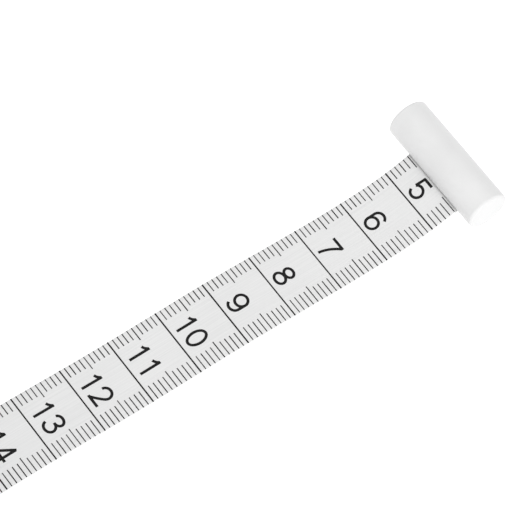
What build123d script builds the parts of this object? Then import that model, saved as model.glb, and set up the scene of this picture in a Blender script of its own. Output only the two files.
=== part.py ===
from build123d import *

import math
import os

# Girth tape measure: a coated ribbon with a T-bar end, wound on a sprung drum in a two-part case.
#
# Frame: +Z up, +X from the case towards the T-bar, +Y from the button face to the screw face.
# The origin is on the surface it stands on, straight below the drum's axis. Millimetres.

os.makedirs("parts", exist_ok=True)

# ---------------------------------------------------------------- tape and T-bar
tape_width = 14.0
tape_thickness = 0.32
bar_radius = 4.0
bar_length = 24.0
bar_offset = 0.9            # the bar stands out a little further on the screw side
bar_end_radius = 0.6
bar_reading = 40.5          # scale reading at the bar's axis
mouth_reading = 160.0       # scale reading at the case's mouth, with the tape pulled out this far

# The free ribbon from the mouth to the bar: stretches of (length, heading at the stretch's end in
# degrees above level). Each is an arc tangent to the one before it.
ribbon_stretches = [
    (8.0, 0.0),
    (9.0, -0.2),
    (9.0, -4.3),
    (13.0, -6.2),
    (13.0, -2.7),
    (13.0, -2.3),
    (13.0, -6.5),
    (12.0, -5.6),
    (13.0, 0.4),
    (6.0, 7.9),
    (6.6, 22.0),
    (2.9, 22.0),
]
slot_angle = ribbon_stretches[-1][1]
loop_reach = mouth_reading - bar_reading - sum(length for length, _ in ribbon_stretches)

bar_bore_radius = 1.6
bar_bore_end = -9.2
bar_slot_height = 1.1
bar_slot_far_end = 8.0
bar_slot_near_end = -9.2
pin_radius = 0.8
pin_length = 18.0
plug_length = 2.8
hem_start = 1.6             # from the pin's axis to where the hem's two layers meet
hem_end = 4.6               # and to the end of the folded-back layer

# ---------------------------------------------------------------- case
case_half_width = 14.5
case_wall = 1.8
case_height = 43.2
case_top_radius = 13.0
case_toe_radius = 4.0
case_heel_radius = 1.6
case_edge_radius = 1.6
parting_y = 1.5             # the two shells meet off the middle
parting_bevel = 0.3         # on both shells, so that the joint shows as a fine groove
dock_to_mouth = bar_reading  # so the reading is the girth when the bar is docked
case_front = 20.2
dock_x = case_front - dock_to_mouth
dock_z = 7.4
dock_radius = 4.3
dock_insert_radius = 5.15
dock_recess_radius = 5.2
dock_housing_wall = 1.4
dock_insert_half = 13.5
dock_opening_radius = 4.9   # the opening in each side wall, at the dock's ends
dock_lip = 2.2              # from the dock's axis back to the case's rear face
case_back = dock_x - dock_lip

screw_points = [(14.2, 36.6), (16.8, 11.5), (dock_x + 1.2, 15.8), (-16.2, 37.2)]
boss_radius = 2.2
screw_radius = 1.0
screw_head_radius = 1.8
screw_head_height = 1.3
screw_length = 14.0
counterbore_depth = 1.5
screw_hole_play = 0.02
cross_slot_width = 0.45
arbor_head_radius = 2.1
arbor_head_height = 1.0
arbor_head_sink = 0.1       # how far the arbor screw's head sits below the case's face
arbor_boss_radius = 6.5
arbor_screw_through = 3.5   # depth of the clearance hole for the arbor's screw

# ---------------------------------------------------------------- drum and spring
reel_height = 22.0
arbor_radius = 3.5
running_play = 0.05
hub_radius = 10.0
hub_inner_radius = 8.2
flange_radius = 16.4
flange_thickness = 1.0
flange_inside = tape_width / 2 + 0.15
drum_boss_end = 10.95
drum_boss_radius = 5.2
web_inside = 5.5
arbor_front = -8.05
arbor_seat = 11.5
arbor_key = 4.6
arbor_key_depth = 1.1
arbor_hole_end = 5.0
clip_radius = 5.0
clip_thickness = 0.38
clip_groove_radius = 2.9
clip_groove_front = -7.98
flange_recess = 0.6
spring_thickness = 0.22
spring_half_turns = 14
spring_start_radius = 3.75
spring_pitch = 0.31         # growth in radius for each half turn
anchor_pin_radius = 0.6
anchor_pin_offset = 9.25

# ---------------------------------------------------------------- button and brake
button_radius = 7.0
button_hole_play = 0.2
button_proud = 1.0
button_rim_radius = 8.0
button_rim_thickness = 1.0
button_wall = 1.4
button_post_radius = 2.0
button_post_end = -10.6
lever_arm = 10.0            # from the button's axis up to the lever's pivot
lever_front = -10.55
lever_thickness = 1.0
lever_half_width = 2.5
lever_bottom = 21.0
lever_top = 38.8
pivot_radius = 0.75
pivot_play = 0.04
pivot_boss_radius = 1.7
ear_inside = 3.0
ear_outside = 4.6
pad_gap = 0.05
leaf_thickness = 0.25
leaf_half_width = 2.0

# ---------------------------------------------------------------- shared places
reel_axis = Axis((0, 0, reel_height), (0, 1, 0))
half_section = Plane.XY.offset(reel_height)  # sketch x is the radius, sketch y is along the axis
pivot_z = reel_height + lever_arm
pivot_y = lever_front + lever_thickness / 2


def across(y):
    """The plane square to the drum's axis at this y; extruding from it goes towards the button face."""
    return Plane.XZ.offset(-y)


def lay_ribbon():
    """Draw the free ribbon's middle line in the active BuildLine, from the mouth at (0, 0)."""
    point = Vector(0, 0)
    heading = 0.0
    for length, end_heading in ribbon_stretches:
        direction = Vector(1, 0).rotate(Axis.Z, heading)
        turn = end_heading - heading
        if abs(turn) < 1e-6:
            piece = Line(point, point + direction * length)
        else:
            piece = JernArc(point, direction, length / math.radians(abs(turn)), turn)
        point = piece @ 1
        heading = end_heading
    return point


# The ribbon's drop from the mouth to the bar's axis sets the mouth's height.
with BuildLine() as trial_ribbon:
    ribbon_end = lay_ribbon()
bar_place = ribbon_end + Vector(1, 0).rotate(Axis.Z, slot_angle) * loop_reach
bar_x = case_front + bar_place.X
bar_z = bar_radius
blade_height = bar_z - bar_place.Y
coil_radius = reel_height - blade_height - tape_thickness / 2 - running_play
mouth_corner = Plane(
    origin=(case_front, tape_width / 2, blade_height), x_dir=(1, 0, 0), z_dir=(0, -1, 0)
)
bar_frame = Location((bar_x, bar_z), slot_angle)
print(f"bar axis x {bar_x:.3f}, blade height {blade_height:.3f}, coil radius {coil_radius:.3f}")

guide_length = 5.0
guide_half_width = 9.2
guide_half_height = 1.9
guide_slot_height = 1.0
guide_slot_half_width = 7.4
housing_length = 6.2
housing_half_height = 3.1


def case_outline(inset):
    """Draw the case's side view, shrunk by inset: a square with a rounded top and a flat foot."""
    with Locations(((case_front + case_back) / 2, case_height / 2)):
        Rectangle(case_front - case_back - 2 * inset, case_height - 2 * inset)
    fillet(vertices().group_by(Axis.Y)[-1], case_top_radius - inset)
    fillet(vertices().group_by(Axis.Y)[0].sort_by(Axis.X)[-1], case_toe_radius - inset)
    fillet(vertices().group_by(Axis.Y)[0].sort_by(Axis.X)[0], max(case_heel_radius - inset, 0.3))


def case_room():
    """Draw the hollow of a shell: the inset outline less the dock, the screw bosses and the mouth."""
    case_outline(case_wall)
    with Locations((dock_x, dock_z)):
        Circle(dock_recess_radius + dock_housing_wall, mode=Mode.SUBTRACT)
    with Locations(*screw_points):
        Circle(boss_radius, mode=Mode.SUBTRACT)
    with Locations((case_front, blade_height)):
        Rectangle(
            housing_length,
            2 * housing_half_height,
            align=(Align.MAX, Align.CENTER),
            mode=Mode.SUBTRACT,
        )


def cut_dock_and_mouth(outward):
    """Cut the dock's recess and the mouth's pocket in the active shell, from the parting plane.

    outward is 1 for the front shell, whose cuts run towards -Y, and -1 for the rear shell.
    """
    with BuildSketch(across(parting_y)) as dock_recess:
        with Locations((dock_x, dock_z)):
            Circle(dock_recess_radius)
    with BuildSketch(across(parting_y)) as dock_opening:
        with Locations((dock_x, dock_z)):
            Circle(dock_opening_radius)
    with BuildSketch(across(parting_y)) as guide_pocket:
        with Locations((case_front, blade_height)):
            Rectangle(guide_length, 2 * guide_half_height, align=(Align.MAX, Align.CENTER))
    with BuildSketch(across(parting_y)) as ribbon_way:
        with Locations((case_front, blade_height)):
            Rectangle(housing_length, 2 * guide_slot_height, align=(Align.MAX, Align.CENTER))
    for cut, half_depth in (
        (dock_recess, dock_insert_half),
        (dock_opening, case_half_width),
        (guide_pocket, guide_half_width),
        (ribbon_way, guide_slot_half_width),
    ):
        extrude(cut.sketch, amount=outward * half_depth + parting_y, mode=Mode.SUBTRACT)


# ================================================================ case pieces
# Front shell: the half with the button's hole and the brake lever's two ears.
with BuildPart() as front_shell:
    with BuildSketch(across(parting_y)):
        case_outline(0)
    extrude(amount=case_half_width + parting_y)
    fillet(faces().sort_by(Axis.Y)[0].edges(), case_edge_radius)
    chamfer(faces().sort_by(Axis.Y)[-1].edges(), parting_bevel)
    with BuildSketch(across(parting_y)):
        case_room()
    extrude(amount=case_half_width - case_wall + parting_y, mode=Mode.SUBTRACT)
    cut_dock_and_mouth(1)
    with BuildSketch(across(parting_y)):
        with Locations(*screw_points):
            Circle(screw_radius + screw_hole_play)
    extrude(amount=screw_length, mode=Mode.SUBTRACT)
    with BuildSketch(across(-case_half_width + case_wall)):
        with Locations((0, reel_height)):
            Circle(button_radius + button_hole_play)
    extrude(amount=case_wall, mode=Mode.SUBTRACT)
    hole_edges = edges().filter_by(GeomType.CIRCLE).filter_by(
        lambda edge: math.isclose(edge.radius, button_radius + button_hole_play)
    )
    chamfer(hole_edges.sort_by(Axis.Y)[0], 0.4)
    ear_depth = case_half_width - case_wall + pivot_y + pivot_boss_radius - 0.5
    with BuildSketch(across(-case_half_width + case_wall + ear_depth)):
        for side in (-1, 1):
            with Locations((side * (ear_inside + ear_outside) / 2, pivot_z)):
                Rectangle(ear_outside - ear_inside, 2 * pivot_boss_radius - 0.2)
    extrude(amount=ear_depth)
    with BuildSketch(Plane.YZ.offset(-ear_outside)):
        with Locations((pivot_y, pivot_z)):
            Circle(pivot_radius)
    extrude(amount=2 * ear_outside, mode=Mode.SUBTRACT)
front_shell.part.label = "front_shell"
export_step(front_shell.part, "parts/front_shell.step")

# Rear shell: the half with the screws' counterbores and the arbor's keyed seat.
with BuildPart() as rear_shell:
    with BuildSketch(across(parting_y)):
        case_outline(0)
    extrude(amount=-(case_half_width - parting_y))
    fillet(faces().sort_by(Axis.Y)[-1].edges(), case_edge_radius)
    chamfer(faces().sort_by(Axis.Y)[0].edges(), parting_bevel)
    with BuildSketch(across(parting_y)):
        case_room()
    extrude(amount=-(case_half_width - case_wall - parting_y), mode=Mode.SUBTRACT)
    cut_dock_and_mouth(-1)
    with BuildSketch(across(arbor_seat)):
        with Locations((0, reel_height)):
            Circle(arbor_boss_radius)
    extrude(amount=-(case_half_width - case_wall - arbor_seat))
    with BuildSketch(across(arbor_seat)):
        with Locations((0, reel_height)):
            Rectangle(arbor_key, arbor_key)
    extrude(amount=-arbor_key_depth, mode=Mode.SUBTRACT)
    screw_heads = [
        Plane(origin=(x, case_half_width, z), z_dir=(0, 1, 0)).location for x, z in screw_points
    ]
    with Locations(*screw_heads):
        CounterBoreHole(screw_radius + 0.1, screw_head_radius + 0.1, counterbore_depth)
    with Locations(Plane(origin=(0, case_half_width, reel_height), z_dir=(0, 1, 0)).location):
        CounterBoreHole(
            screw_radius + 0.1,
            arbor_head_radius + 0.1,
            arbor_head_sink + arbor_head_height,
            arbor_screw_through,
        )
rear_shell.part.label = "rear_shell"
export_step(rear_shell.part, "parts/rear_shell.step")

# Case screws: four pan-head screws, driven from the rear, in one node.
head_seat = case_half_width - counterbore_depth
with BuildPart() as case_screws:
    with BuildSketch(across(head_seat + screw_head_height)):
        with Locations(*screw_points):
            Circle(screw_head_radius)
    extrude(amount=screw_head_height)
    fillet(faces().group_by(Axis.Y)[-1].edges(), 0.4)
    with BuildSketch(across(head_seat)):
        with Locations(*screw_points):
            Circle(screw_radius)
    extrude(amount=screw_length)
    chamfer(faces().group_by(Axis.Y)[0].edges(), 0.35)
    with BuildSketch(across(head_seat + screw_head_height)):
        with Locations(*screw_points):
            Rectangle(1.2 * screw_head_radius, cross_slot_width)
            Rectangle(cross_slot_width, 1.2 * screw_head_radius)
    extrude(amount=0.7, mode=Mode.SUBTRACT)
case_screws.part.label = "case_screws"
export_step(case_screws.part, "parts/case_screws.step")

# Mouth guide: the block that the ribbon slides through, flared inside, trapped between the shells.
with BuildPart() as mouth_guide:
    with BuildSketch(across(guide_half_width)):
        with Locations((case_front, blade_height)):
            Rectangle(guide_length, 2 * guide_half_height, align=(Align.MAX, Align.CENTER))
    extrude(amount=2 * guide_half_width)
    with BuildSketch(across(guide_slot_half_width)):
        with Locations((case_front, blade_height)):
            Rectangle(guide_length, guide_slot_height, align=(Align.MAX, Align.CENTER))
    extrude(amount=2 * guide_slot_half_width, mode=Mode.SUBTRACT)
    slot_edges = edges().filter_by(Axis.Y).filter_by_position(
        Axis.Z,
        blade_height - guide_slot_height / 2 - 0.01,
        blade_height + guide_slot_height / 2 + 0.01,
    )
    chamfer(slot_edges.group_by(Axis.X)[0], 0.6)
    fillet(slot_edges.group_by(Axis.X)[-1], 0.35)
mouth_guide.part.label = "mouth_guide"
export_step(mouth_guide.part, "parts/mouth_guide.step")

# Dock: the C-shaped cradle that the T-bar snaps into, open to the rear.
with BuildPart() as t_bar_dock:
    with BuildSketch(across(dock_insert_half)):
        with Locations((dock_x, dock_z)):
            Circle(dock_insert_radius)
            Circle(dock_radius, mode=Mode.SUBTRACT)
        with Locations((case_back, dock_z)):
            Rectangle(
                2 * dock_insert_radius,
                2 * dock_insert_radius,
                align=(Align.MAX, Align.CENTER),
                mode=Mode.SUBTRACT,
            )
    extrude(amount=2 * dock_insert_half)
t_bar_dock.part.label = "t_bar_dock"
export_step(t_bar_dock.part, "parts/t_bar_dock.step")

# ================================================================ fixed shaft
# Arbor: the shaft that the drum turns on, with a slot that holds the spring's inner end.
with BuildPart() as spring_arbor:
    with BuildSketch(across(arbor_seat)):
        with Locations((0, reel_height)):
            Circle(arbor_radius)
    extrude(amount=arbor_seat - arbor_front)
    chamfer(faces().sort_by(Axis.Y)[0].edges(), 0.25)
    with BuildSketch(across(arbor_seat)):
        with Locations((0, reel_height)):
            Rectangle(arbor_key - 0.04, arbor_key - 0.04)
    extrude(amount=-arbor_key_depth + 0.02)
    with BuildSketch(half_section):
        with Locations((clip_groove_radius, clip_groove_front)):
            Rectangle(arbor_radius, clip_thickness + 0.04, align=(Align.MIN, Align.MIN))
    revolve(axis=reel_axis, mode=Mode.SUBTRACT)
    with BuildSketch(across(web_inside - 0.2)):
        with Locations((1.6, reel_height)):
            Rectangle(arbor_radius, 0.6, align=(Align.MIN, Align.CENTER))
    extrude(amount=web_inside + flange_inside - 1.0, mode=Mode.SUBTRACT)
    with BuildSketch(across(arbor_seat + arbor_key_depth)):
        with Locations((0, reel_height)):
            Circle(screw_radius + screw_hole_play)
    extrude(amount=arbor_seat + arbor_key_depth - arbor_hole_end, mode=Mode.SUBTRACT)
spring_arbor.part.label = "spring_arbor"
export_step(spring_arbor.part, "parts/spring_arbor.step")

# Arbor screw: holds the arbor to the rear shell.
arbor_head_seat = case_half_width - arbor_head_sink - arbor_head_height
with BuildPart() as arbor_screw:
    with BuildSketch(across(case_half_width - arbor_head_sink)):
        with Locations((0, reel_height)):
            Circle(arbor_head_radius)
    extrude(amount=arbor_head_height)
    fillet(faces().sort_by(Axis.Y)[-1].edges(), 0.35)
    with BuildSketch(across(arbor_head_seat)):
        with Locations((0, reel_height)):
            Circle(screw_radius)
    extrude(amount=arbor_head_seat - arbor_hole_end - 0.5)
    with BuildSketch(across(case_half_width - arbor_head_sink)):
        with Locations((0, reel_height)):
            Rectangle(1.2 * arbor_head_radius, cross_slot_width)
            Rectangle(cross_slot_width, 1.2 * arbor_head_radius)
    extrude(amount=0.6, mode=Mode.SUBTRACT)
arbor_screw.part.label = "arbor_screw"
export_step(arbor_screw.part, "parts/arbor_screw.step")

# Thrust washer between the drum's boss and the rear shell.
with BuildPart() as thrust_washer:
    with BuildSketch(across(arbor_seat - running_play)):
        with Locations((0, reel_height)):
            Circle(drum_boss_radius)
            Circle(arbor_radius + 0.1, mode=Mode.SUBTRACT)
    extrude(amount=arbor_seat - drum_boss_end - 2 * running_play)
thrust_washer.part.label = "thrust_washer"
export_step(thrust_washer.part, "parts/thrust_washer.step")

# Drum clip: the open ring in the arbor's groove that keeps the drum on.
with BuildPart() as drum_clip:
    with BuildSketch(across(clip_groove_front + clip_thickness + 0.02)):
        with Locations((0, reel_height)):
            Circle(clip_radius)
            Circle(clip_groove_radius + 0.03, mode=Mode.SUBTRACT)
            Rectangle(2.6, 2 * clip_radius, align=(Align.CENTER, Align.MAX), mode=Mode.SUBTRACT)
    extrude(amount=clip_thickness)
drum_clip.part.label = "drum_clip"
export_step(drum_clip.part, "parts/drum_clip.step")

# ================================================================ drum
# Drum: hub, rear flange and rear bearing in one piece, hollow for the spring.
drum_rear = flange_inside + flange_thickness
with BuildPart() as drum:
    with BuildSketch(half_section):
        with BuildLine():
            Polyline(
                (arbor_radius + running_play, drum_boss_end),
                (drum_boss_radius, drum_boss_end),
                (drum_boss_radius, drum_rear),
                (flange_radius, drum_rear),
                (flange_radius, flange_inside),
                (hub_radius, flange_inside),
                (hub_radius, -flange_inside),
                (hub_inner_radius, -flange_inside),
                (hub_inner_radius, web_inside),
                (arbor_radius + running_play, web_inside),
                close=True,
            )
        make_face()
    revolve(axis=reel_axis)
    with BuildSketch(across(flange_inside)):
        with Locations((anchor_pin_offset, reel_height)):
            Circle(anchor_pin_radius + 0.05)
            Rectangle(1.5, 0.8, align=(Align.MIN, Align.CENTER))
    extrude(amount=2 * flange_inside, mode=Mode.SUBTRACT)
drum.part.label = "drum"
export_step(drum.part, "parts/drum.step")

# Front flange: closes the hub, carries the drum's front bearing, and is the brake's disc.
with BuildPart() as drum_front_flange:
    with BuildSketch(half_section):
        with BuildLine():
            Polyline(
                (arbor_radius + running_play, -flange_inside + 0.8),
                (hub_inner_radius - 0.02, -flange_inside + 0.8),
                (hub_inner_radius - 0.02, -flange_inside),
                (flange_radius, -flange_inside),
                (flange_radius, -drum_rear),
                (clip_radius + flange_recess, -drum_rear),
                (clip_radius + flange_recess, -drum_rear + flange_recess),
                (arbor_radius + running_play, -drum_rear + flange_recess),
                close=True,
            )
        make_face()
    revolve(axis=reel_axis)
drum_front_flange.part.label = "drum_front_flange"
export_step(drum_front_flange.part, "parts/drum_front_flange.step")

# Anchor pin: keys the ribbon's inner end into the hub.
with BuildPart() as tape_anchor_pin:
    with BuildSketch(across(flange_inside - 0.2)):
        with Locations((anchor_pin_offset, reel_height)):
            Circle(anchor_pin_radius)
    extrude(amount=2 * flange_inside - 0.4)
tape_anchor_pin.part.label = "tape_anchor_pin"
export_step(tape_anchor_pin.part, "parts/tape_anchor_pin.step")

# Power spring: a flat spiral of half circles, hooked into the arbor's slot.
spring_front = -flange_inside + 1.1
with BuildPart() as power_spring:
    with BuildSketch(across(web_inside - 0.3)):
        with BuildLine() as spiral:
            start = Vector(spring_start_radius, reel_height)
            Line((1.9, reel_height), start)
            for half_turn in range(spring_half_turns):
                side = 1 if half_turn % 2 == 0 else -1
                radius = spring_start_radius + spring_pitch * (half_turn + 0.5)
                arc = JernArc(start, (0, side), radius, 180)
                start = arc @ 1
        trace(line_width=spring_thickness)
    extrude(amount=web_inside - 0.3 - spring_front)
power_spring.part.label = "power_spring"
export_step(power_spring.part, "parts/power_spring.step")

# Tape coil: the ribbon that is still wound on the hub.
with BuildPart() as tape_coil:
    with BuildSketch(across(tape_width / 2)):
        with Locations((0, reel_height)):
            Circle(coil_radius)
            Circle(hub_radius + 0.02, mode=Mode.SUBTRACT)
    extrude(amount=tape_width)
tape_coil.part.label = "tape_coil"
export_step(tape_coil.part, "parts/tape_coil.step")

# Tape lead: the ribbon between the coil and the mouth, which keeps its place as the tape runs.
with BuildPart() as tape_lead:
    with BuildSketch(across(tape_width / 2)):
        with Locations((case_front, blade_height)):
            Rectangle(case_front, tape_thickness, align=(Align.MAX, Align.CENTER))
    extrude(amount=tape_width)
tape_lead.part.label = "tape_lead"
export_step(tape_lead.part, "parts/tape_lead.step")

# ================================================================ button and brake
# Button: a shallow cap with a retaining rim inside and a round-nosed post that pushes the lever.
button_face = -case_half_width - button_proud
rim_front = -case_half_width + case_wall + 0.1
nose_center = button_post_end - button_post_radius
with BuildPart() as button:
    with BuildSketch(half_section):
        with BuildLine():
            Polyline(
                (0, button_face),
                (button_radius, button_face),
                (button_radius, rim_front),
                (button_rim_radius, rim_front),
                (button_rim_radius, rim_front + button_rim_thickness),
                (button_radius - button_wall, rim_front + button_rim_thickness),
                (button_radius - button_wall, button_face + button_wall),
                (button_post_radius, button_face + button_wall),
                (button_post_radius, nose_center),
            )
            CenterArc((0, nose_center), button_post_radius, 0, 90)
            Line((0, button_post_end), (0, button_face))
        make_face()
    revolve(axis=reel_axis)
    fillet(faces().sort_by(Axis.Y)[0].edges(), 0.7)
button.part.label = "button"
export_step(button.part, "parts/button.step")

# Brake lever: a see-saw bar on its pivot pin; the button pushes its low end.
with BuildPart() as brake_lever:
    with BuildSketch(Plane.YZ.offset(-lever_half_width)):
        with Locations((lever_front, lever_bottom)):
            Rectangle(lever_thickness, lever_top - lever_bottom, align=(Align.MIN, Align.MIN))
        with Locations((pivot_y, pivot_z)):
            Circle(pivot_boss_radius)
            Circle(pivot_radius + pivot_play, mode=Mode.SUBTRACT)
    extrude(amount=2 * lever_half_width)
brake_lever.part.label = "brake_lever"
export_step(brake_lever.part, "parts/brake_lever.step")

# Brake pin: the lever's pivot, held in the front shell's ears.
with BuildPart() as brake_pin:
    with BuildSketch(Plane.YZ.offset(-ear_outside)):
        with Locations((pivot_y, pivot_z)):
            Circle(pivot_radius)
    extrude(amount=2 * ear_outside)
brake_pin.part.label = "brake_pin"
export_step(brake_pin.part, "parts/brake_pin.step")

# Brake pad: the rubber block on the lever's upper arm.
pad_front = lever_front + lever_thickness
with BuildPart() as brake_pad:
    with BuildSketch(across(-drum_rear - pad_gap)):
        with Locations((0, pivot_z + 4.6)):
            Rectangle(2 * lever_half_width - 0.6, 2.8)
    extrude(amount=-drum_rear - pad_gap - pad_front)
    chamfer(faces().sort_by(Axis.Y)[-1].edges(), 0.25)
brake_pad.part.label = "brake_pad"
export_step(brake_pad.part, "parts/brake_pad.step")

# Brake spring: a bent leaf between the front shell's wall and the lever's upper arm.
leaf_wall = -case_half_width + case_wall + leaf_thickness / 2 + 0.01
leaf_touch = lever_front - leaf_thickness / 2 - 0.05
with BuildPart() as brake_spring:
    with BuildSketch(Plane.YZ.offset(-leaf_half_width)):
        with BuildLine():
            FilletPolyline(
                (leaf_wall, case_height - case_wall - 0.6),
                (leaf_wall, pivot_z + 6.9),
                (leaf_touch - 0.15, pivot_z + 5.3),
                (leaf_touch - 0.6, pivot_z + 3.6),
                radius=0.5,
            )
        trace(line_width=leaf_thickness)
    extrude(amount=2 * leaf_half_width)
brake_spring.part.label = "brake_spring"
export_step(brake_spring.part, "parts/brake_spring.step")

# ================================================================ tape end
# Tape blade: the pulled-out ribbon, with the hem loop that goes round the bar's pin.
with BuildPart() as tape_blade:
    with BuildSketch(mouth_corner):
        with BuildLine():
            lay_ribbon()
        trace(line_width=tape_thickness)
    extrude(amount=tape_width)
    with BuildSketch(across(tape_width / 2)):
        with Locations(bar_frame):
            Circle(pin_radius + running_play + tape_thickness)
            with Locations((-hem_start, -tape_thickness / 2)):
                Rectangle(0.1, 2 * tape_thickness)
        make_hull()
        with Locations(bar_frame):
            with Locations((-hem_start, -tape_thickness)):
                Rectangle(hem_end - hem_start, tape_thickness, align=(Align.MAX, Align.CENTER))
    extrude(amount=tape_width)
    with BuildSketch(across(tape_width / 2)):
        with Locations(bar_frame):
            Circle(pin_radius + running_play)
    extrude(amount=tape_width, mode=Mode.SUBTRACT)
tape_blade.part.label = "tape_blade"
export_step(tape_blade.part, "parts/tape_blade.step")

# T-bar: a round bar, bored from one end for the pin and slotted for the ribbon.
bar_far = bar_offset + bar_length / 2
with BuildPart() as t_bar:
    with BuildSketch(across(bar_far)):
        with Locations((bar_x, bar_z)):
            Circle(bar_radius)
    extrude(amount=bar_length)
    fillet(edges().filter_by(GeomType.CIRCLE), bar_end_radius)
    with BuildSketch(across(bar_far)):
        with Locations((bar_x, bar_z)):
            Circle(bar_bore_radius)
    extrude(amount=bar_far - bar_bore_end, mode=Mode.SUBTRACT)
    with BuildSketch(across(bar_slot_far_end)):
        with Locations(bar_frame):
            Rectangle(2 * bar_radius, bar_slot_height, align=(Align.MAX, Align.CENTER))
    extrude(amount=bar_slot_far_end - bar_slot_near_end, mode=Mode.SUBTRACT)
t_bar.part.label = "t_bar"
export_step(t_bar.part, "parts/t_bar.step")

# T-bar pin: runs through the hem loop inside the bar.
with BuildPart() as t_bar_pin:
    with BuildSketch(across(pin_length / 2)):
        with Locations((bar_x, bar_z)):
            Circle(pin_radius)
    extrude(amount=pin_length)
    chamfer(edges(), 0.2)
t_bar_pin.part.label = "t_bar_pin"
export_step(t_bar_pin.part, "parts/t_bar_pin.step")

# T-bar plug: closes the bore.
with BuildPart() as t_bar_plug:
    with BuildSketch(across(bar_far)):
        with Locations((bar_x, bar_z)):
            Circle(bar_bore_radius - 0.01)
    extrude(amount=plug_length)
t_bar_plug.part.label = "t_bar_plug"
export_step(t_bar_plug.part, "parts/t_bar_plug.step")
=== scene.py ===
"""Looks for the girth tape measure: the ribbon and its printed scale, materials, floor, lights and camera.

Lengths of the ribbon and its print are in millimetres, as on the scale; MM turns them into Blender's metres.
A place on the ribbon is (reading, across, lift): the scale's reading, the distance from the edge on the +Y
side, and the height above the ribbon's middle.
"""

import math
import random

import bpy
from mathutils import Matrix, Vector


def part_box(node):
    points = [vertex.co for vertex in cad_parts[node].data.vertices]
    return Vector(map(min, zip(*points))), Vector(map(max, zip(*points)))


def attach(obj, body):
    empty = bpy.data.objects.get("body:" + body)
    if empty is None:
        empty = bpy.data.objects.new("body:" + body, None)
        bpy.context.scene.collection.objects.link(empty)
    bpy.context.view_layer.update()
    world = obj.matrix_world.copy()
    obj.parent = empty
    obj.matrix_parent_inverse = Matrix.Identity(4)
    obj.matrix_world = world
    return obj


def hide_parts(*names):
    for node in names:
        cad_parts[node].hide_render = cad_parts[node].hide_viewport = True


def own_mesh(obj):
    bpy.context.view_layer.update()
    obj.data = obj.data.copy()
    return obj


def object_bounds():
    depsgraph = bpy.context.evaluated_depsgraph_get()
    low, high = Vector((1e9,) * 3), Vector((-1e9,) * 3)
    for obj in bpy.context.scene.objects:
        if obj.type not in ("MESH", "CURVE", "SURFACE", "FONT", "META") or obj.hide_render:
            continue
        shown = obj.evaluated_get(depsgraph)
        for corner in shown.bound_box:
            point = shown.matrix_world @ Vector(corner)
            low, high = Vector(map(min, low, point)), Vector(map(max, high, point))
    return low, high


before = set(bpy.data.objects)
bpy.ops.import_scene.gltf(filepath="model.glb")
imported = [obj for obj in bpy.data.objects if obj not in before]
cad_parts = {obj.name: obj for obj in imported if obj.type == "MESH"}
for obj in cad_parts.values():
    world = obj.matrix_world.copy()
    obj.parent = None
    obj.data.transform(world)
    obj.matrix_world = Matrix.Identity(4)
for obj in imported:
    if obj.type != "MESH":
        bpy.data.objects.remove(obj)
cad_low, cad_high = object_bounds()

MM = 0.001

# ---------------------------------------------------------------- the ribbon's line
# The free ribbon from the mouth to the bar: (length, heading at the stretch's end in degrees above level).
RIBBON_STRETCHES = [
    (8.0, 0.0),
    (9.0, -0.2),
    (9.0, -4.3),
    (13.0, -6.2),
    (13.0, -2.7),
    (13.0, -2.3),
    (13.0, -6.5),
    (12.0, -5.6),
    (13.0, 0.4),
    (6.0, 7.9),
    (6.6, 22.0),
    (2.9, 22.0),
]
STRAIGHT = 1e-9             # a stretch that bends less than this, in radians per millimetre, is straight
MOUTH_READING = 160.0
BAR_READING = 40.5          # at the bar's axis
lead_low, lead_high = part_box("tape_lead")
blade_low, blade_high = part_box("tape_blade")
bar_low, bar_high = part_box("t_bar")
MOUTH_X = lead_high.x / MM
MOUTH_Z = (lead_low.z + lead_high.z) / 2 / MM
TAPE_WIDTH = (blade_high.y - blade_low.y) / MM
TAPE_THICKNESS = (lead_high.z - lead_low.z) / MM
BAR_RADIUS = (bar_high.x - bar_low.x) / 2 / MM
SLOT_READING = BAR_READING + BAR_RADIUS     # where the ribbon goes into the bar's slot


def ribbon_line(reading):
    """(x, z, heading) of the ribbon's middle at this reading; heading in radians, going towards the bar."""
    left = MOUTH_READING - reading
    x, z, heading = MOUTH_X, MOUTH_Z, 0.0
    for length, end_degrees in RIBBON_STRETCHES:
        run = min(left, length)
        bend = (math.radians(end_degrees) - heading) / length
        turned = heading + bend * run
        if abs(bend) < STRAIGHT:
            x += run * math.cos(heading)
            z += run * math.sin(heading)
        else:
            x += (math.sin(turned) - math.sin(heading)) / bend
            z += (math.cos(heading) - math.cos(turned)) / bend
        heading = turned
        left -= run
        if left <= 0:
            break
    if left > 0:
        x += left * math.cos(heading)
        z += left * math.sin(heading)
    return x, z, heading


def on_ribbon(reading, across, lift):
    """The point in metres at this place on the ribbon."""
    x, z, heading = ribbon_line(reading)
    return Vector((
        (x - math.sin(heading) * lift) * MM,
        (TAPE_WIDTH / 2 - across) * MM,
        (z + math.cos(heading) * lift) * MM,
    ))


# ---------------------------------------------------------------- mesh helpers
def make_piece(name, points, faces, smooth=False):
    """A new mesh object in the scene."""
    mesh = bpy.data.meshes.new(name)
    mesh.from_pydata([tuple(p) for p in points], [], faces)
    mesh.validate()
    mesh.polygons.foreach_set("use_smooth", [smooth] * len(mesh.polygons))
    piece = bpy.data.objects.new(name, mesh)
    bpy.context.scene.collection.objects.link(piece)
    return piece


def tube_faces(stations, around, closed=False, first=0):
    """Faces of a tube whose stations each have the same number of points around."""
    faces = []
    count = stations if closed else stations - 1
    for i in range(count):
        j = (i + 1) % stations
        for k in range(around):
            m = (k + 1) % around
            faces.append((
                first + i * around + k,
                first + j * around + k,
                first + j * around + m,
                first + i * around + m,
            ))
    if not closed:
        faces.append(tuple(first + k for k in range(around)))
        last = first + (stations - 1) * around
        faces.append(tuple(last + k for k in reversed(range(around))))
    return faces


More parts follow.
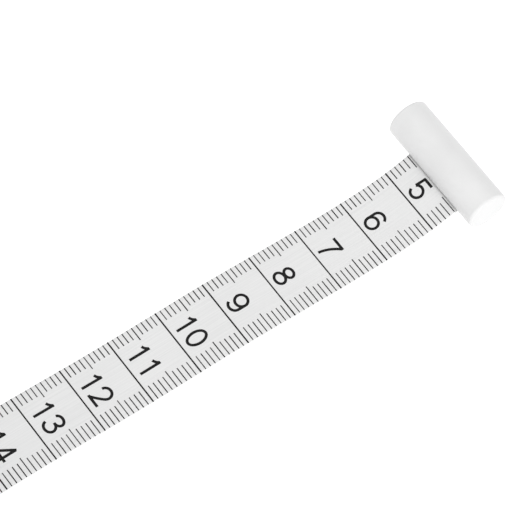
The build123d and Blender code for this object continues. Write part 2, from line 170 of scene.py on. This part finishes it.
def arc(center_x, center_y, radius_x, radius_y, start, end, steps=20):
    """Points on an elliptical arc, angles in degrees."""
    return [
        (
            center_x + radius_x * math.cos(math.radians(start + (end - start) * i / steps)),
            center_y + radius_y * math.sin(math.radians(start + (end - start) * i / steps)),
        )
        for i in range(steps + 1)
    ]


def curve(start, control, end, steps=12):
    """Points on a quadratic curve."""
    points = []
    for i in range(steps + 1):
        t = i / steps
        points.append(tuple(
            (1 - t) ** 2 * a + 2 * t * (1 - t) * b + t * t * c for a, b, c in zip(start, control, end)
        ))
    return points


# ---------------------------------------------------------------- material helpers
def new_material(name, color, roughness):
    """A Principled material with its plain values set; returns the material, its tree and the shader."""
    material = bpy.data.materials.new(name)
    material.use_nodes = True
    tree = material.node_tree
    shader = tree.nodes["Principled BSDF"]
    shader.inputs["Base Color"].default_value = (*color, 1)
    shader.inputs["Roughness"].default_value = roughness
    return material, tree, shader


def add_node(tree, kind, **settings):
    """A node with its properties and unlinked inputs set; inputs are named with underscores for spaces."""
    node = tree.nodes.new(kind)
    for key, value in settings.items():
        if hasattr(node, key):
            setattr(node, key, value)
        else:
            node.inputs[key.replace("_", " ")].default_value = value
    return node


def stretched_place(tree, scale, source="Object"):
    """Texture coordinates scaled by a different amount each way."""
    place = add_node(tree, "ShaderNodeTexCoord")
    mapping = add_node(tree, "ShaderNodeMapping")
    mapping.inputs["Scale"].default_value = scale
    tree.links.new(place.outputs[source], mapping.inputs["Vector"])
    return mapping.outputs["Vector"]


def noise(tree, vector, scale, detail=3.0, roughness=0.5):
    """A noise field's value."""
    node = add_node(tree, "ShaderNodeTexNoise", Scale=scale, Detail=detail, Roughness=roughness)
    tree.links.new(vector, node.inputs["Vector"])
    return node.outputs["Fac"]


def ramp(tree, value, stops):
    """A colour ramp through the stops (position, (r, g, b)) or (position, grey)."""
    node = add_node(tree, "ShaderNodeValToRGB")
    elements = node.color_ramp.elements
    while len(elements) < len(stops):
        elements.new(0.5)
    for element, (position, color) in zip(elements, stops):
        element.position = position
        rgb = color if isinstance(color, tuple) else (color,) * 3
        element.color = (*rgb, 1)
    tree.links.new(value, node.inputs["Fac"])
    return node.outputs["Color"]


def bump(tree, shader, height, strength, distance):
    """Give the shader a bump from a height field, on top of any bump it already has."""
    node = add_node(tree, "ShaderNodeBump", Strength=strength, Distance=distance)
    if shader.inputs["Normal"].is_linked:
        tree.links.new(shader.inputs["Normal"].links[0].from_socket, node.inputs["Normal"])
    tree.links.new(height, node.inputs["Height"])
    tree.links.new(node.outputs["Normal"], shader.inputs["Normal"])


# ---------------------------------------------------------------- materials
def ribbon_material():
    """Off-white coated glass-fibre cloth: faint lengthwise threads under a satin coat."""
    material, tree, shader = new_material("coated_ribbon", (0.69, 0.69, 0.69), 0.45)
    threads = noise(tree, stretched_place(tree, (60, 5200, 60), "UV"), 1.0, 2.0)
    weft = noise(tree, stretched_place(tree, (2600, 260, 1), "UV"), 1.0, 2.0)
    patches = noise(tree, stretched_place(tree, (50, 140, 50), "UV"), 1.0, 3.0)
    thread_color = ramp(tree, threads, [(0.3, (0.648, 0.649, 0.649)), (0.7, (0.712, 0.712, 0.710))])
    patch_shade = ramp(tree, patches, [(0.3, 0.965), (0.7, 1.0)])
    mix = add_node(tree, "ShaderNodeMix", data_type="RGBA", blend_type="MULTIPLY")
    factor, color_a, color_b = 0, 6, 7
    mix.inputs[factor].default_value = 1.0
    tree.links.new(thread_color, mix.inputs[color_a])
    tree.links.new(patch_shade, mix.inputs[color_b])
    tree.links.new(mix.outputs[2], shader.inputs["Base Color"])
    tree.links.new(ramp(tree, patches, [(0.3, 0.40), (0.7, 0.52)]), shader.inputs["Roughness"])
    bump(tree, shader, threads, 0.25, 0.00003)
    bump(tree, shader, weft, 0.15, 0.00002)
    return material


def ink_material():
    """Black printing ink, a little uneven where the cloth shows through."""
    material, tree, shader = new_material("print_ink", (0.012, 0.012, 0.013), 0.6)
    shader.inputs["Specular IOR Level"].default_value = 0.12
    cover = noise(tree, stretched_place(tree, (4000, 4000, 4000)), 1.0, 3.0)
    tree.links.new(ramp(tree, cover, [(0.35, 0.006), (0.75, 0.014)]), shader.inputs["Base Color"])
    bump(tree, shader, cover, 0.1, 0.00001)
    return material


def plastic_material(name, color, spread, roughness, grain, grain_depth):
    """Moulded plastic: a slightly cloudy colour, uneven gloss and a fine spark-eroded grain."""
    material, tree, shader = new_material(name, color, roughness)
    cloud = noise(tree, stretched_place(tree, (180, 180, 180)), 1.0, 4.0)
    dark = tuple(c * (1 - spread) for c in color)
    gloss = ramp(tree, cloud, [(0.3, roughness - 0.05), (0.7, roughness + 0.06)])
    tree.links.new(ramp(tree, cloud, [(0.3, dark), (0.7, color)]), shader.inputs["Base Color"])
    tree.links.new(gloss, shader.inputs["Roughness"])
    fine = noise(tree, stretched_place(tree, (grain, grain, grain)), 1.0, 2.0)
    bump(tree, shader, fine, 0.2, grain_depth)
    return material


def metal_material(name, color, roughness, brushing):
    """Plated or rolled metal with fine directional marks."""
    material, tree, shader = new_material(name, color, roughness)
    shader.inputs["Metallic"].default_value = 1.0
    marks = noise(tree, stretched_place(tree, brushing), 1.0, 3.0)
    dark = tuple(c * 0.85 for c in color)
    gloss = ramp(tree, marks, [(0.3, roughness - 0.06), (0.7, roughness + 0.1)])
    tree.links.new(ramp(tree, marks, [(0.3, dark), (0.7, color)]), shader.inputs["Base Color"])
    tree.links.new(gloss, shader.inputs["Roughness"])
    bump(tree, shader, marks, 0.15, 0.00001)
    return material


RIBBON = ribbon_material()
INK = ink_material()
BAR = plastic_material("bar_plastic", (0.685, 0.685, 0.685), 0.05, 0.45, 2600, 0.000012)
CASE = plastic_material("case_plastic", (0.53, 0.545, 0.56), 0.02, 0.36, 3200, 0.000015)
GUIDE = plastic_material("guide_plastic", (0.36, 0.38, 0.40), 0.06, 0.45, 3200, 0.00002)
BUTTON = plastic_material("button_plastic", (0.20, 0.23, 0.27), 0.06, 0.42, 3200, 0.00002)
DRUM = plastic_material("drum_plastic", (0.62, 0.62, 0.58), 0.04, 0.40, 2400, 0.00001)
SLIP = plastic_material("slip_plastic", (0.80, 0.80, 0.77), 0.03, 0.32, 2400, 0.00001)
RUBBER = plastic_material("brake_rubber", (0.03, 0.03, 0.03), 0.3, 0.80, 4200, 0.00003)
PLATED = metal_material("plated_steel", (0.66, 0.66, 0.67), 0.28, (900, 900, 900))
SPRING = metal_material("spring_steel", (0.34, 0.36, 0.42), 0.34, (200, 4000, 200))
ARBOR = metal_material("turned_metal", (0.60, 0.60, 0.61), 0.30, (300, 6000, 300))

CAD_MATERIALS = {
    "front_shell": CASE,
    "rear_shell": CASE,
    "case_screws": PLATED,
    "mouth_guide": GUIDE,
    "t_bar_dock": GUIDE,
    "spring_arbor": ARBOR,
    "arbor_screw": PLATED,
    "thrust_washer": SLIP,
    "drum_clip": SPRING,
    "drum": DRUM,
    "drum_front_flange": DRUM,
    "tape_anchor_pin": PLATED,
    "power_spring": SPRING,
    "tape_coil": RIBBON,
    "tape_lead": RIBBON,
    "button": BUTTON,
    "brake_lever": DRUM,
    "brake_pin": PLATED,
    "brake_pad": RUBBER,
    "brake_spring": SPRING,
    "t_bar": BAR,
    "t_bar_pin": PLATED,
    "t_bar_plug": BAR,
}
for node_name, node_material in CAD_MATERIALS.items():
    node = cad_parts[node_name]
    node.data.materials.clear()
    node.data.materials.append(node_material)


# ---------------------------------------------------------------- the ribbon
EDGE_ROUND = 0.10           # how far in from its edges the ribbon starts to round off
EDGE_STEPS = 6
SECTION_COLUMNS = 28
RIBBON_STEP = 0.5           # between the mesh's stations along the ribbon


def ribbon_section():
    """Points (across, lift) round the ribbon's section, with softened edges."""
    half = TAPE_THICKNESS / 2
    near_edge = TAPE_WIDTH - EDGE_ROUND
    flats = [(near_edge - EDGE_ROUND) * column / SECTION_COLUMNS for column in range(SECTION_COLUMNS + 1)]
    turns = [math.pi * step / EDGE_STEPS for step in range(1, EDGE_STEPS)]
    top = [(EDGE_ROUND + flat, half) for flat in flats]
    near = [(near_edge + EDGE_ROUND * math.sin(turn), half * math.cos(turn)) for turn in turns]
    bottom = [(near_edge - flat, -half) for flat in flats]
    far = [(EDGE_ROUND - EDGE_ROUND * math.sin(turn), -half * math.cos(turn)) for turn in turns]
    return top + near + bottom + far


def finish_ribbon(piece, readings):
    """Lay the piece's UVs out flat, in metres along and across the ribbon, and join it to the tape's body."""
    flat = piece.data.uv_layers.new(name="flat")
    places = [(r * MM, across * MM) for r in readings for across, _ in ribbon_section()]
    for loop in piece.data.loops:
        flat.data[loop.index].uv = places[loop.vertex_index]
    piece.data.materials.append(RIBBON)
    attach(piece, "tape_body")


def make_ribbon():
    """The pulled-out ribbon from the mouth to the bar's slot, as one closed skin."""
    section = ribbon_section()
    free = MOUTH_READING - SLOT_READING
    steps = round(free / RIBBON_STEP)
    readings = [SLOT_READING + free * i / steps for i in range(steps + 1)]
    points = [on_ribbon(r, across, lift) for r in readings for across, lift in section]
    piece = make_piece("ribbon", points, tube_faces(len(readings), len(section)), smooth=True)
    finish_ribbon(piece, readings)
    return piece


def hem_line():
    """The hem's middle line inside the bar in millimetres: (u, v) from the bar's axis, u along the slot and
    away from the case, v across it."""
    pin_low, pin_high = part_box("t_bar_pin")
    pin_play = 0.05
    layer_gap = 0.02
    ribbon_overlap = 0.02       # into the free ribbon's end
    folded_end = 0.5            # how far the folded layer reaches out of the slot
    loop_radius = (pin_high.x - pin_low.x) / 2 / MM + pin_play + TAPE_THICKNESS / 2
    folded = -TAPE_THICKNESS - layer_gap
    loop = arc(0, 0, loop_radius, loop_radius, 125, -131, 34)
    path = [(-BAR_RADIUS - ribbon_overlap, 0.0), (-3.2, 0.0), (-2.5, 0.0)]
    path += curve((-2.2, 0.0), (-1.3, 0.35), loop[0], 6)
    path += loop[1:-1]
    path += curve(loop[-1], (-1.2, -0.40), (-2.0, folded), 6)
    path += [(-2.8, folded), (-BAR_RADIUS - folded_end, folded)]
    return path


def make_hem():
    """The ribbon's end inside the bar: a loop round the pin, folded back under itself."""
    axis_x, axis_z, heading = ribbon_line(BAR_READING)
    along = Vector((math.cos(heading), math.sin(heading)))
    up = Vector((-along.y, along.x))
    path = [Vector(p) for p in hem_line()]
    section = ribbon_section()
    points = []
    readings = []
    travelled = SLOT_READING
    for i, place in enumerate(path):
        before, after = path[max(i - 1, 0)], path[min(i + 1, len(path) - 1)]
        direction = (after - before).normalized()
        travelled -= (place - before).length
        readings.append(travelled)
        for across, lift in section:
            u = place.x - direction.y * lift
            v = place.y + direction.x * lift
            x, z = Vector((axis_x, axis_z)) + along * u + up * v
            points.append((x * MM, (TAPE_WIDTH / 2 - across) * MM, z * MM))
    piece = make_piece("ribbon_hem", points, tube_faces(len(path), len(section)), smooth=True)
    finish_ribbon(piece, readings)


# ---------------------------------------------------------------- the print
INK_TOP = TAPE_THICKNESS / 2 + 0.012        # the ink stands a little above the coat
INK_ROOT = TAPE_THICKNESS / 2 - 0.02        # and its solids reach down into it
LINE_WIDTH = 0.28                           # of the centimetre lines
MARK_WIDTH = 0.19
HALF_MARKS = (2.9, TAPE_WIDTH - 3.7)        # where the marks from the two edges end
SHORT_MARKS = (2.25, TAPE_WIDTH - 3.05)
LINE_INSET = 0.04                           # from either edge of the ribbon to the line's end
FAR_INSET, NEAR_INSET = 0.1, 0.08           # from the two edges to where the marks start
WIDTH_SPREAD = 0.1                          # unevenness of the printed widths


def ink_corners(place, side, lift=0.0):
    """The four corners of a pen line's section at this (reading, across) place."""
    return [
        on_ribbon(*(place + side), INK_ROOT),
        on_ribbon(*(place - side), INK_ROOT),
        on_ribbon(*(place - side), INK_TOP + lift),
        on_ribbon(*(place + side), INK_TOP + lift),
    ]


def add_mark(points, faces, start, end, width):
    """Add one straight mark from start to end, each (reading, across), to the points and faces."""
    along = Vector(end) - Vector(start)
    side = Vector((-along.y, along.x)).normalized() * width / 2
    first = len(points)
    for place in (Vector(start), Vector(end)):
        points.extend(ink_corners(place, side))
    faces.extend(tube_faces(2, 4, first=first))


def make_scale():
    """The graduations: a full line each centimetre, longer marks each half, short marks each millimetre."""
    rng = random.Random(7)
    points, faces = [], []
    for reading in range(math.ceil(SLOT_READING), int(MOUTH_READING)):
        uneven = rng.uniform(1 - WIDTH_SPREAD, 1 + WIDTH_SPREAD)
        if reading % 10 == 0:
            line_end = TAPE_WIDTH - LINE_INSET
            add_mark(points, faces, (reading, LINE_INSET), (reading, line_end), LINE_WIDTH * uneven)
            continue
        far_end, near_start = HALF_MARKS if reading % 5 == 0 else SHORT_MARKS
        near_end = TAPE_WIDTH - NEAR_INSET
        add_mark(points, faces, (reading, FAR_INSET), (reading, far_end), MARK_WIDTH * uneven)
        add_mark(points, faces, (reading, near_start), (reading, near_end), MARK_WIDTH * uneven)
    piece = make_piece("scale_marks", points, faces)
    piece.data.materials.append(INK)
    return piece


# The middle lines of the digits' strokes in millimetres: x across the digit, y up from its baseline.
# Each digit is 4.2 mm high and stands in a cell of width CELL. PEN is the strokes' width.
PEN = 0.52
DIGITS = {
    "0": [arc(1.42, 2.1, 1.16, 1.86, 90, 450, 40)],
    "1": [[(1.70, 0.0), (1.70, 4.2)], curve((1.62, 3.98), (1.30, 3.42), (0.66, 3.22), 6)],
    "2": [
        arc(1.44, 2.86, 1.12, 1.10, 178, -30, 24)
        + curve((2.36, 2.20), (1.60, 1.25), (0.42, 0.30), 8),
        [(0.06, 0.24), (2.78, 0.24)],
    ],
    "3": [
        arc(1.42, 3.12, 1.06, 0.84, 172, -82, 24),
        arc(1.44, 1.26, 1.16, 1.02, 98, -176, 28),
    ],
    "4": [[(2.0, 0.0), (2.0, 4.0)], [(2.05, 4.05), (0.25, 1.15)], [(0.1, 1.15), (2.84, 1.15)]],
    "5": [
        [(2.62, 3.96), (0.62, 3.96)],
        [(0.66, 4.14), (0.36, 2.02)],
        arc(1.42, 1.41, 1.17, 1.17, 150, -160, 30),
    ],
    "6": [
        arc(1.42, 1.40, 1.18, 1.17, 180, 540, 36),
        arc(1.42, 2.86, 1.18, 1.12, 26, 180, 16) + [(0.24, 1.40)],
    ],
    "7": [[(0.0, 3.96), (2.84, 3.96)], curve((2.62, 3.86), (1.10, 2.05), (0.88, 0.0), 12)],
    "8": [arc(1.42, 1.18, 1.17, 0.95, 90, 450, 36), arc(1.42, 3.14, 1.0, 0.82, 90, 450, 32)],
    "9": [
        arc(1.42, 2.80, 1.18, 1.17, 0, 360, 36),
        arc(1.42, 1.34, 1.18, 1.12, 206, 360, 16) + [(2.60, 2.80)],
    ],
}
CELL = 2.84
ADVANCE = 3.26              # from one digit's cell to the next
NUMERAL_MIDDLE = 6.45       # across the ribbon, from the +Y edge
NUMERAL_GAP = 0.45          # from a centimetre line to its number's baseline
NUMERAL_DRIFT = 0.065       # and how much that gap grows with each centimetre
STROKE_STEP = 0.001         # each stroke of a digit is this much higher, so crossing strokes share no top
FIRST_NUMERAL, LAST_NUMERAL = 5, 16


def add_stroke(points, faces, line, lift):
    """Add one pen stroke along a line of (reading, across) places, as a closed solid raised by lift."""
    closed = math.dist(line[0], line[-1]) < 1e-6
    path = [Vector(p) for p in (line[:-1] if closed else line)]
    count = len(path)
    first = len(points)
    for i, place in enumerate(path):
        before = path[(i - 1) % count] if closed or i else path[0]
        after = path[(i + 1) % count] if closed or i < count - 1 else path[-1]
        direction = (after - before).normalized()
        side = Vector((-direction.y, direction.x)) * PEN / 2
        points.extend(ink_corners(place, side, lift))
    faces.extend(tube_faces(count, 4, closed=closed, first=first))


def subdivide(line, longest=0.35):
    """The same line with no gap longer than this, so that it can follow the ribbon's bends."""
    result = [line[0]]
    for a, b in zip(line, line[1:]):
        parts = max(1, math.ceil(math.dist(a, b) / longest))
        for i in range(1, parts + 1):
            result.append((a[0] + (b[0] - a[0]) * i / parts, a[1] + (b[1] - a[1]) * i / parts))
    return result


def make_numerals():
    """The centimetre numbers, each on the bar's side of its line, tops towards the bar."""
    points, faces = [], []
    for number in range(FIRST_NUMERAL, LAST_NUMERAL + 1):
        baseline = 10 * number - NUMERAL_GAP - NUMERAL_DRIFT * number
        text = str(number)
        total = CELL + ADVANCE * (len(text) - 1)
        for index, digit in enumerate(text):
            left = NUMERAL_MIDDLE - total / 2 + ADVANCE * index
            for order, line in enumerate(DIGITS[digit]):
                placed = [(baseline - y, left + x) for x, y in subdivide(line)]
                add_stroke(points, faces, placed, STROKE_STEP * order)
    piece = make_piece("scale_numerals", points, faces)
    piece.data.materials.append(INK)
    return piece


ribbon = make_ribbon()
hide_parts("tape_blade")
make_hem()
anchor = on_ribbon(SLOT_READING, TAPE_WIDTH / 2, 0)
print_pieces = (make_scale(), make_numerals())
for piece in print_pieces:
    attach(piece, "tape_body")
for piece in (ribbon, *print_pieces):
    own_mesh(piece)


# ---------------------------------------------------------------- floor, lights and camera
def make_floor():
    """A plain white surface, a little self-lit so that it stays white beside the object."""
    size = 3.0
    corners = [(-size, -size, 0), (size, -size, 0), (size, size, 0), (-size, size, 0)]
    floor = make_piece("floor", corners, [(0, 1, 2, 3)])
    material, tree, shader = new_material("floor_white", (0.4, 0.4, 0.4), 0.9)
    shader.inputs["Emission Color"].default_value = (1, 1, 1, 1)
    shader.inputs["Emission Strength"].default_value = 0.8
    floor.data.materials.append(material)


def add_area_light(name, azimuth, elevation, distance, size, power, aim):
    """A square soft light in this direction from its aim, facing it."""
    data = bpy.data.lights.new(name, "AREA")
    data.size = size
    data.energy = power
    light = bpy.data.objects.new(name, data)
    bpy.context.scene.collection.objects.link(light)
    a, e = math.radians(azimuth), math.radians(elevation)
    back = Vector((math.sin(a) * math.cos(e), -math.cos(a) * math.cos(e), math.sin(e)))
    light.location = aim + back * distance
    light.rotation_mode = "QUATERNION"
    light.rotation_quaternion = (-back).to_track_quat("-Z", "Y")
    light.visible_camera = False


def make_camera():
    """A long lens looking down on the bar's end of the ribbon."""
    azimuth, elevation, distance = -35.79, 62.17, 0.6385
    aim = Vector((0.10088, 0.00437, 0.004))
    data = bpy.data.cameras.new("camera")
    data.sensor_width = 36
    data.lens = 252.9
    data.clip_start, data.clip_end = 0.05, 20
    camera = bpy.data.objects.new("camera", data)
    bpy.context.scene.collection.objects.link(camera)
    a, e = math.radians(azimuth), math.radians(elevation)
    back = Vector((math.sin(a) * math.cos(e), -math.cos(a) * math.cos(e), math.sin(e)))
    camera.location = aim + back * distance
    camera.rotation_mode = "QUATERNION"
    camera.rotation_quaternion = (-back).to_track_quat("-Z", "Y")
    bpy.context.scene.camera = camera


make_floor()
middle = (cad_low + cad_high) / 2
add_area_light("front_light", -8, 12, 1.3, 0.7, 6.2, middle)
add_area_light("top_light", -60, 65, 1.5, 1.2, 4.2, middle)
add_area_light("bar_light", 100, 80, 0.24, 0.13, 0.085, (bar_low + bar_high) / 2)
world = bpy.data.worlds.new("studio")
world.use_nodes = True
world.node_tree.nodes["Background"].inputs["Color"].default_value = (1, 1, 1, 1)
world.node_tree.nodes["Background"].inputs["Strength"].default_value = 0.87
bpy.context.scene.world = world
bpy.context.scene.view_settings.view_transform = "Standard"
make_camera()
